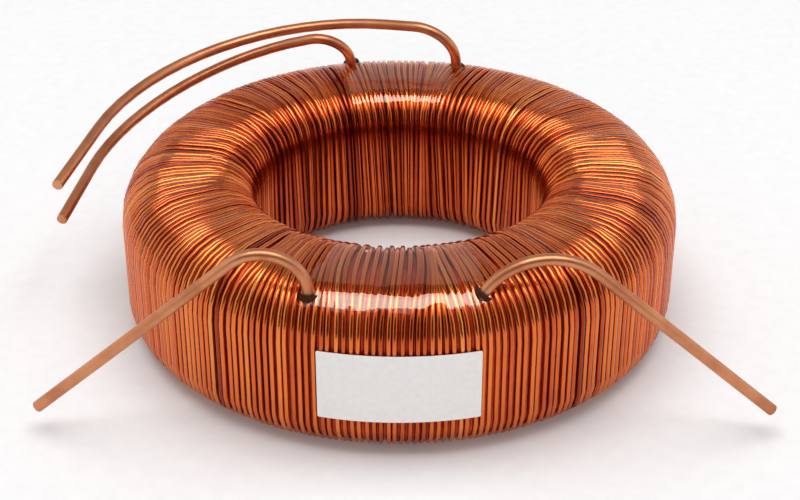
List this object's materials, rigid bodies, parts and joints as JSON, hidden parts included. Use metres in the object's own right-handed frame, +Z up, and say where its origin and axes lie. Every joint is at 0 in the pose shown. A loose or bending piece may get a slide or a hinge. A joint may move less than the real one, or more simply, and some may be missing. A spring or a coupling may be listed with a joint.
{
  "type": "toroidal transformer",
  "caption": "Toroidal mains transformer: copper wire wound around a ring core, four stiff bare copper leads and a blank label on the outer wall.",
  "frame": {"origin": "centre of the ring's axis at the plane the transformer rests on", "axes": "+Z up along the ring's axis, -Y towards the front with the label, +X to the right seen from the front"},
  "size_m": [0.187, 0.1502, 0.0595],
  "materials": {
    "core_steel": "edges of a tightly wound silicon-steel strip, dull",
    "cover_plastic": "moulded insulating cover, matt",
    "core_tape": "wrapped polyester film tape, matt",
    "primary_copper": "enamelled copper wire, even layers",
    "interwinding_tape": "wrapped polyester film tape, matt",
    "secondary_copper": "enamelled copper wire under a clear varnish, glossy orange-brown",
    "lead_copper": "bare solid copper wire, satin",
    "sleeve": "dark insulating sleeving",
    "label": "white self-adhesive film, unprinted"
  },
  "bodies": {
    "root": {"core": "core_steel", "core_cover_upper": "cover_plastic", "core_cover_lower": "cover_plastic", "core_tape": "core_tape", "primary_winding": "primary_copper", "interwinding_tape": "interwinding_tape", "secondary_winding": "secondary_copper", "primary_start_lead": "lead_copper", "primary_end_lead": "lead_copper", "secondary_start_lead": "lead_copper", "secondary_end_lead": "lead_copper", "primary_start_sleeve": "sleeve", "primary_end_sleeve": "sleeve", "secondary_start_sleeve": "sleeve", "secondary_end_sleeve": "sleeve", "label": "label"}
  },
  "joints": []
}
